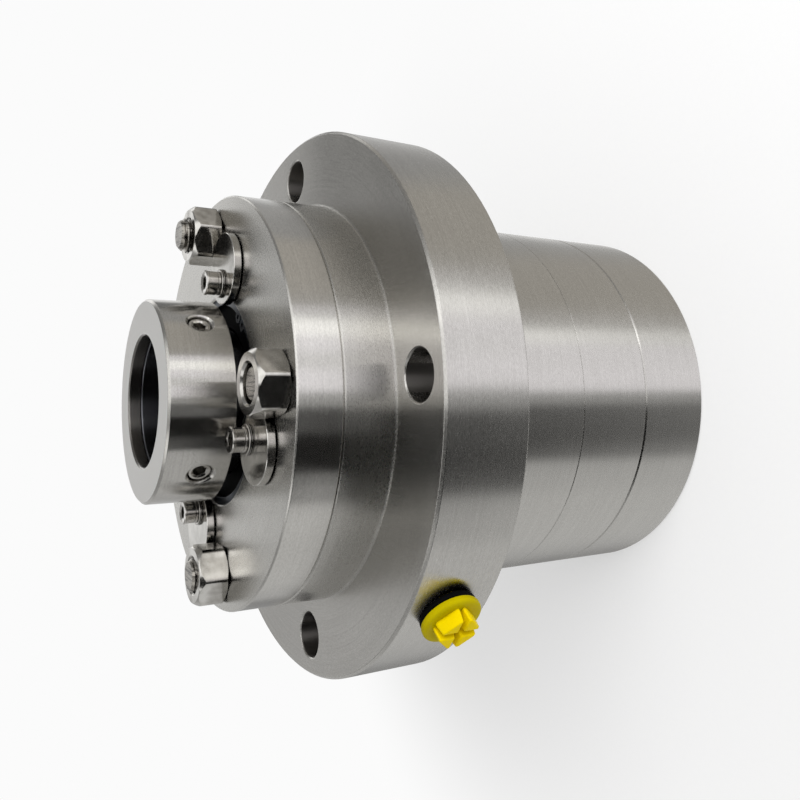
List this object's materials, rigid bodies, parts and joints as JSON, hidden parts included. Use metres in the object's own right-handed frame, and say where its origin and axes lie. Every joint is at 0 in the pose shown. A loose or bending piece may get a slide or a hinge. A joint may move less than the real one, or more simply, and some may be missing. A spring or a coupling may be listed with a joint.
{
  "type": "cartridge mechanical seal",
  "caption": "Cartridge mechanical seal: drive collar with set screws, bolted gland plate, thick mounting flange with a plugged side port and a long cylindrical barrel.",
  "frame": {"origin": "on the shaft axis, at the mounting face of the flange", "axes": "+Z along the shaft towards the drive collar; the barrel points to -Z and the part stands on its end; +X is up in the picture and -Y is the picture's near side"},
  "size_m": [0.2, 0.2, 0.1987],
  "materials": {
    "housing_steel": "turned",
    "collar_steel": "turned",
    "sleeve_steel": "turned",
    "fastener_steel": "polished",
    "screw_steel": "satin",
    "spring_steel": "drawn",
    "rubber": "satin",
    "carbon": "lapped",
    "carbide": "lapped",
    "plug_plastic": "moulded"
  },
  "bodies": {
    "housing": {"gland_plate": "housing_steel", "flange_body": "housing_steel", "middle_ring": "housing_steel", "end_ring": "housing_steel", "studs": "fastener_steel", "hex_nuts": "fastener_steel", "clip_screws": "screw_steel", "clip_washers": "screw_steel", "barrel_screws": "screw_steel", "housing_o_rings": "rubber", "throttle_bushing": "carbon", "bushing_circlip": "spring_steel", "outboard_seat": "carbide", "inboard_seat": "carbide", "seat_o_rings": "rubber", "seat_pins": "screw_steel"},
    "rotor": {"shaft_sleeve": "sleeve_steel", "drive_collar": "collar_steel", "collar_set_screws": "screw_steel", "sleeve_o_ring": "rubber", "outboard_carrier": "sleeve_steel", "inboard_carrier": "sleeve_steel", "pumping_ring": "sleeve_steel", "hub_set_screws": "screw_steel", "drive_pins": "screw_steel", "outboard_springs": "spring_steel", "inboard_springs": "spring_steel"},
    "outboard_face": {"outboard_ring": "carbon", "outboard_ring_o_ring": "rubber"},
    "inboard_face": {"inboard_ring": "carbon", "inboard_ring_o_ring": "rubber"},
    "clip_1": {"clip_1": "fastener_steel"},
    "clip_2": {"clip_2": "fastener_steel"},
    "clip_3": {"clip_3": "fastener_steel"},
    "clip_4": {"clip_4": "fastener_steel"},
    "plug_near": {"port_plug_near": "plug_plastic", "port_o_ring_near": "rubber"},
    "plug_far": {"port_plug_far": "plug_plastic", "port_o_ring_far": "rubber"}
  },
  "joints": [
    {"name": "rotor_spin", "type": "hinge", "parent": "housing", "child": "rotor", "pos_m": [0, 0, 0], "axis": [0, 0, 1], "continuous": true},
    {"name": "outboard_face_float", "type": "slide", "parent": "rotor", "child": "outboard_face", "axis": [0, 0, -1], "range_m": [0, 0.0015], "stiffness_N_per_m": 12000, "springref_m": -0.0015, "deforming": ["outboard_springs"]},
    {"name": "inboard_face_float", "type": "slide", "parent": "rotor", "child": "inboard_face", "axis": [0, 0, 1], "range_m": [0, 0.0015], "stiffness_N_per_m": 12000, "springref_m": -0.0015, "deforming": ["inboard_springs"]},
    {"name": "clip_1_swing", "type": "hinge", "parent": "housing", "child": "clip_1", "pos_m": [0.04113, -0.00988, 0.064], "axis": [0, 0, -1], "range_deg": [0, 125]},
    {"name": "clip_2_swing", "type": "hinge", "parent": "housing", "child": "clip_2", "pos_m": [-0.00988, -0.04113, 0.064], "axis": [0, 0, -1], "range_deg": [0, 125]},
    {"name": "clip_3_swing", "type": "hinge", "parent": "housing", "child": "clip_3", "pos_m": [-0.04113, 0.00988, 0.064], "axis": [0, 0, -1], "range_deg": [0, 125]},
    {"name": "clip_4_swing", "type": "hinge", "parent": "housing", "child": "clip_4", "pos_m": [0.00988, 0.04113, 0.064], "axis": [0, 0, -1], "range_deg": [0, 125]},
    {"name": "plug_near_out", "type": "slide", "parent": "housing", "child": "plug_near", "axis": [-0.592, -0.8059, 0], "range_m": [0, 0.01]},
    {"name": "plug_far_out", "type": "slide", "parent": "housing", "child": "plug_far", "axis": [0.592, 0.8059, 0], "range_m": [0, 0.01]}
  ]
}
